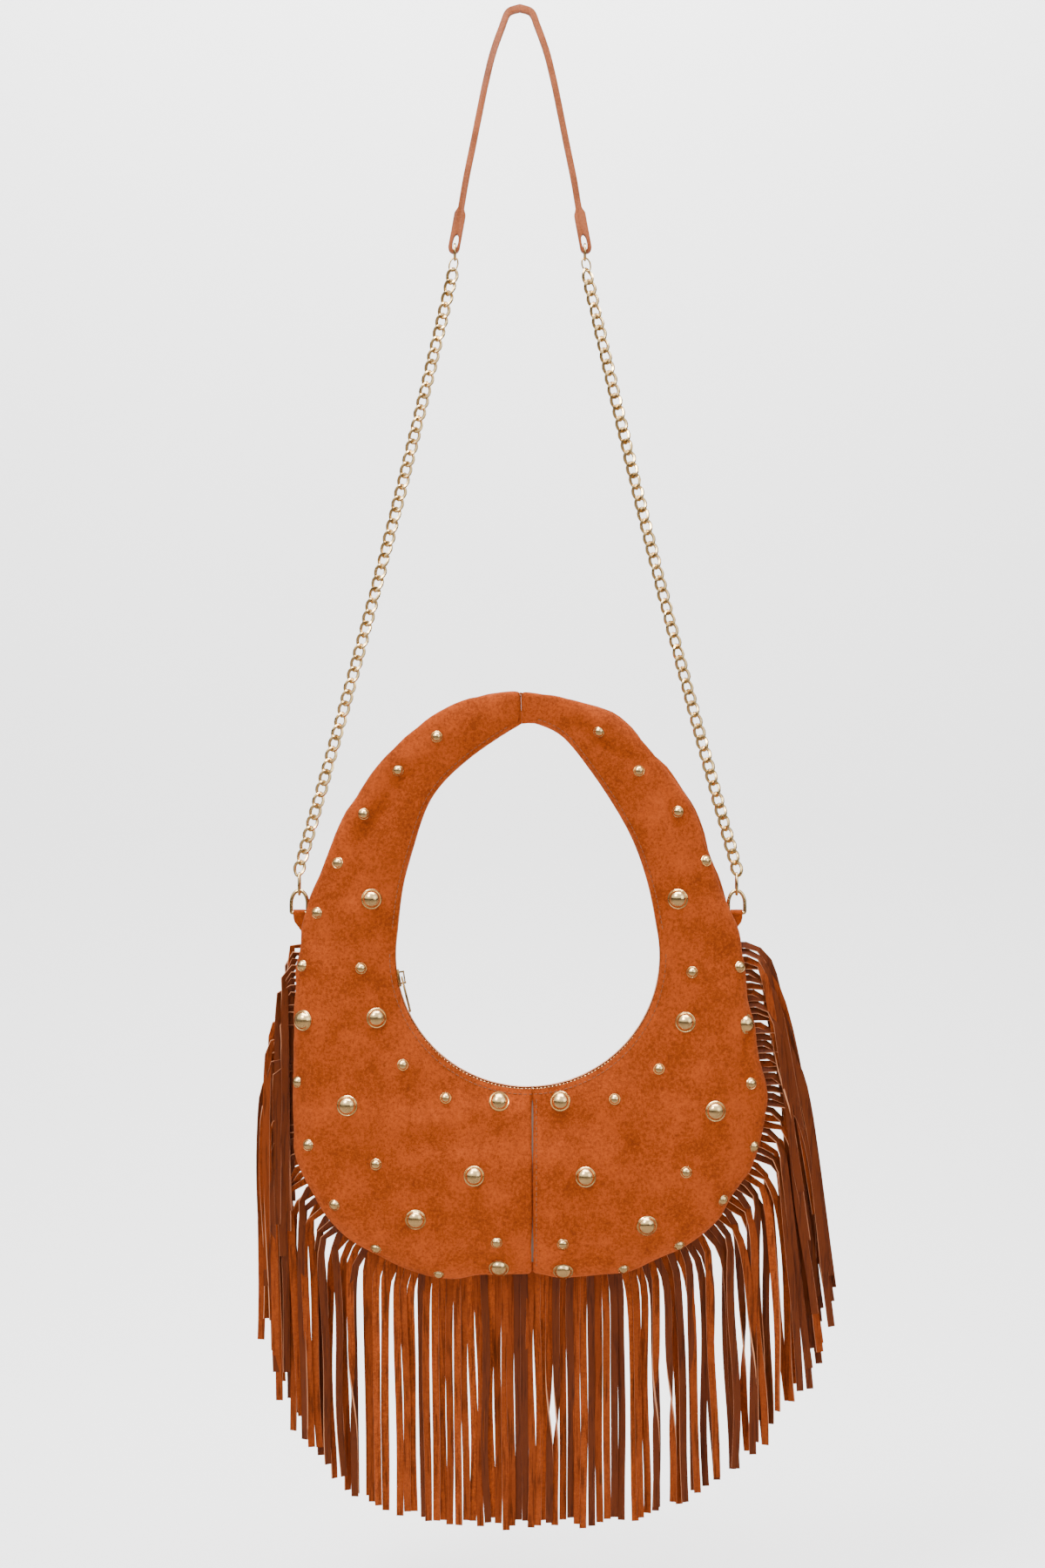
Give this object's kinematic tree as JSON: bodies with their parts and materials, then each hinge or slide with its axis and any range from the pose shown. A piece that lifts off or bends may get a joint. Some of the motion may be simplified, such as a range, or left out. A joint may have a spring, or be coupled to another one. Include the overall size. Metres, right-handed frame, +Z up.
{
  "type": "fringed suede bag",
  "caption": "Hoop-shaped suede shoulder bag with dome studs, a long fringe round its seam, a curved zip and a chain and leather strap, shown hanging.",
  "frame": {"origin": "underside of the shoulder strap where it lies over its peg or shoulder", "axes": "+Z up, X across the bag, front face towards -Y"},
  "size_m": [0.371, 0.057, 0.981],
  "materials": {
    "suede": "rust suede, matt with a short nap",
    "fringe_suede": "rust suede cut into strands, smooth dark back",
    "tan_leather": "smooth tan leather, satin",
    "lining_cloth": "plain dark brown cloth",
    "zip_tape": "woven tape",
    "zip_gold": "polished pale gold",
    "chain_gold": "polished pale gold",
    "stud_gold": "polished pale gold"
  },
  "bodies": {
    "shoulder_strap": {"shoulder_strap": "tan_leather"},
    "chains": {"chain_left": "chain_gold", "chain_right": "chain_gold", "strap_ring_left": "chain_gold", "strap_ring_right": "chain_gold", "end_link_left": "chain_gold", "end_link_right": "chain_gold"},
    "d_rings": {"d_ring_left": "chain_gold", "d_ring_right": "chain_gold"},
    "zip_slider": {"zip_slider": "zip_gold"},
    "zip_pull": {"zip_pull": "zip_gold"},
    "bag": {"back_panel_left": "suede", "back_panel_right": "suede", "fringe": "fringe_suede", "front_panel_left": "suede", "front_panel_right": "suede", "lining": "lining_cloth", "ring_tab_left": "suede", "ring_tab_right": "suede", "stud_large_left_1": "stud_gold", "stud_large_left_2": "stud_gold", "stud_large_left_3": "stud_gold", "stud_large_left_4": "stud_gold", "stud_large_left_5": "stud_gold", "stud_large_left_6": "stud_gold", "stud_large_left_7": "stud_gold", "stud_large_left_8": "stud_gold", "stud_large_right_1": "stud_gold", "stud_large_right_2": "stud_gold", "stud_large_right_3": "stud_gold", "stud_large_right_4": "stud_gold", "stud_large_right_5": "stud_gold", "stud_large_right_6": "stud_gold", "stud_large_right_7": "stud_gold", "stud_large_right_8": "stud_gold", "stud_small_left_1": "stud_gold", "stud_small_left_10": "stud_gold", "stud_small_left_11": "stud_gold", "stud_small_left_2": "stud_gold", "stud_small_left_3": "stud_gold", "stud_small_left_4": "stud_gold", "stud_small_left_5": "stud_gold", "stud_small_left_6": "stud_gold", "stud_small_left_7": "stud_gold", "stud_small_left_8": "stud_gold", "stud_small_left_9": "stud_gold", "stud_small_right_1": "stud_gold", "stud_small_right_10": "stud_gold", "stud_small_right_11": "stud_gold", "stud_small_right_2": "stud_gold", "stud_small_right_3": "stud_gold", "stud_small_right_4": "stud_gold", "stud_small_right_5": "stud_gold", "stud_small_right_6": "stud_gold", "stud_small_right_7": "stud_gold", "stud_small_right_8": "stud_gold", "stud_small_right_9": "stud_gold", "zip_tape": "zip_tape", "zip_teeth_back": "zip_gold", "zip_teeth_front": "zip_gold"}
  },
  "joints": [
    {"name": "strap_fold", "type": "hinge", "parent": "shoulder_strap", "child": "chains", "pos_m": [0, 0, -0.1566], "axis": [1, 0, 0], "range_deg": [-90, 90]},
    {"name": "ring_swing", "type": "hinge", "parent": "chains", "child": "d_rings", "pos_m": [0, 0, -0.572], "axis": [1, 0, 0], "range_deg": [-100, 100]},
    {"name": "tab_tilt", "type": "hinge", "parent": "d_rings", "child": "bag", "pos_m": [0, 0, -0.5864], "axis": [1, 0, 0], "range_deg": [-15, 15]},
    {"name": "zip_travel", "type": "hinge", "parent": "bag", "child": "zip_slider", "pos_m": [0.0051, 0, -0.614], "axis": [0, -1, 0], "range_deg": [0, 162]},
    {"name": "pull_swing", "type": "hinge", "parent": "zip_slider", "child": "zip_pull", "pos_m": [-0.07684, 0, -0.62845], "axis": [0, -1, 0], "range_deg": [0, 165]}
  ]
}
